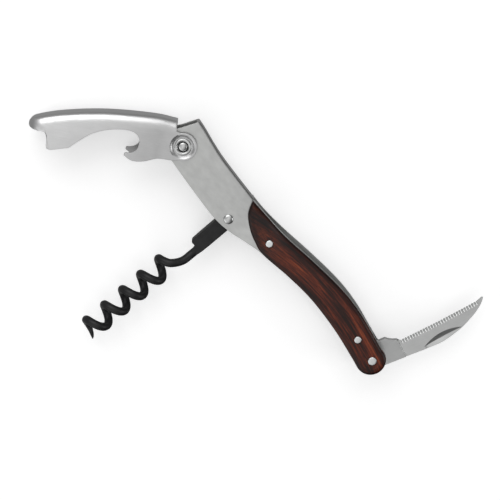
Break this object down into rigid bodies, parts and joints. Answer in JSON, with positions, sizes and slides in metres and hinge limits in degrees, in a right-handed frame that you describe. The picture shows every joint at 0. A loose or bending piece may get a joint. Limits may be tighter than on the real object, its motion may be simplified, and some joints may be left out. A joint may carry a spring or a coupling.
{
  "type": "lever corkscrew",
  "caption": "Folding lever corkscrew with wooden handle scales, a helical worm, a two-eared lever with a bottle opener, and a serrated foil-cutter blade.",
  "frame": {"origin": "centre of the bounding box at its lowest face: the corkscrew lies on its side on the flat outer face of the back handle scale", "axes": "+X from the lever pivot to the blade pivot, along the body; +Y to the back of the body, where the blade folds in; +Z along every hinge pin, up from the back scale to the front scale"},
  "size_m": [0.1606, 0.1186, 0.0164],
  "materials": {
    "brushed_steel": "satin stainless sheet with a fine grain along the body",
    "lever_steel": "satin stainless sheet, brushed along the lever",
    "bright_steel": "polished steel pins, rivets and washers",
    "blade_steel": "satin ground blade steel",
    "black_coating": "black low-friction coating, semi-matte",
    "rosewood": "dark red-brown laminated rosewood with near-black streaks, oiled semi-gloss"
  },
  "bodies": {
    "frame": {"body_frame": "brushed_steel", "scale_front": "rosewood", "scale_back": "rosewood", "scale_pin_front_upper": "bright_steel", "scale_pin_front_lower": "bright_steel", "scale_pin_back_upper": "bright_steel", "scale_pin_back_lower": "bright_steel", "worm_rivet": "bright_steel", "worm_washer_front": "bright_steel", "worm_washer_back": "bright_steel", "blade_pin": "bright_steel", "blade_spacer_front": "brushed_steel", "blade_spacer_back": "brushed_steel", "blade_washer_front": "bright_steel", "blade_washer_back": "bright_steel"},
    "lever_pivot": {"lever_sleeve": "bright_steel", "lever_rivet": "bright_steel"},
    "lever": {"lever": "lever_steel"},
    "worm": {"worm": "black_coating"},
    "blade": {"blade": "blade_steel"}
  },
  "joints": [
    {"name": "worm_hinge", "type": "hinge", "parent": "frame", "child": "worm", "pos_m": [-0.00849, 0.00852, 0.0082], "axis": [0, 0, 1], "range_deg": [0, 90]},
    {"name": "lever_pivot_turn", "type": "hinge", "parent": "frame", "child": "lever_pivot", "pos_m": [-0.03869, 0.01372, 0.0082], "axis": [0, 0, 1], "range_deg": [0, 57]},
    {"name": "lever_hinge", "type": "hinge", "parent": "lever_pivot", "child": "lever", "pos_m": [-0.03869, 0.01372, 0.0082], "axis": [0, 0, 1], "range_deg": [0, 66]},
    {"name": "blade_hinge", "type": "hinge", "parent": "frame", "child": "blade", "pos_m": [0.06546, 0.01372, 0.0082], "axis": [0, 0, 1], "range_deg": [-75, 98]}
  ],
  "couplings": [
    {"joint": "lever_pivot_turn", "follows": "worm_hinge", "ratio": 0.63333}
  ]
}
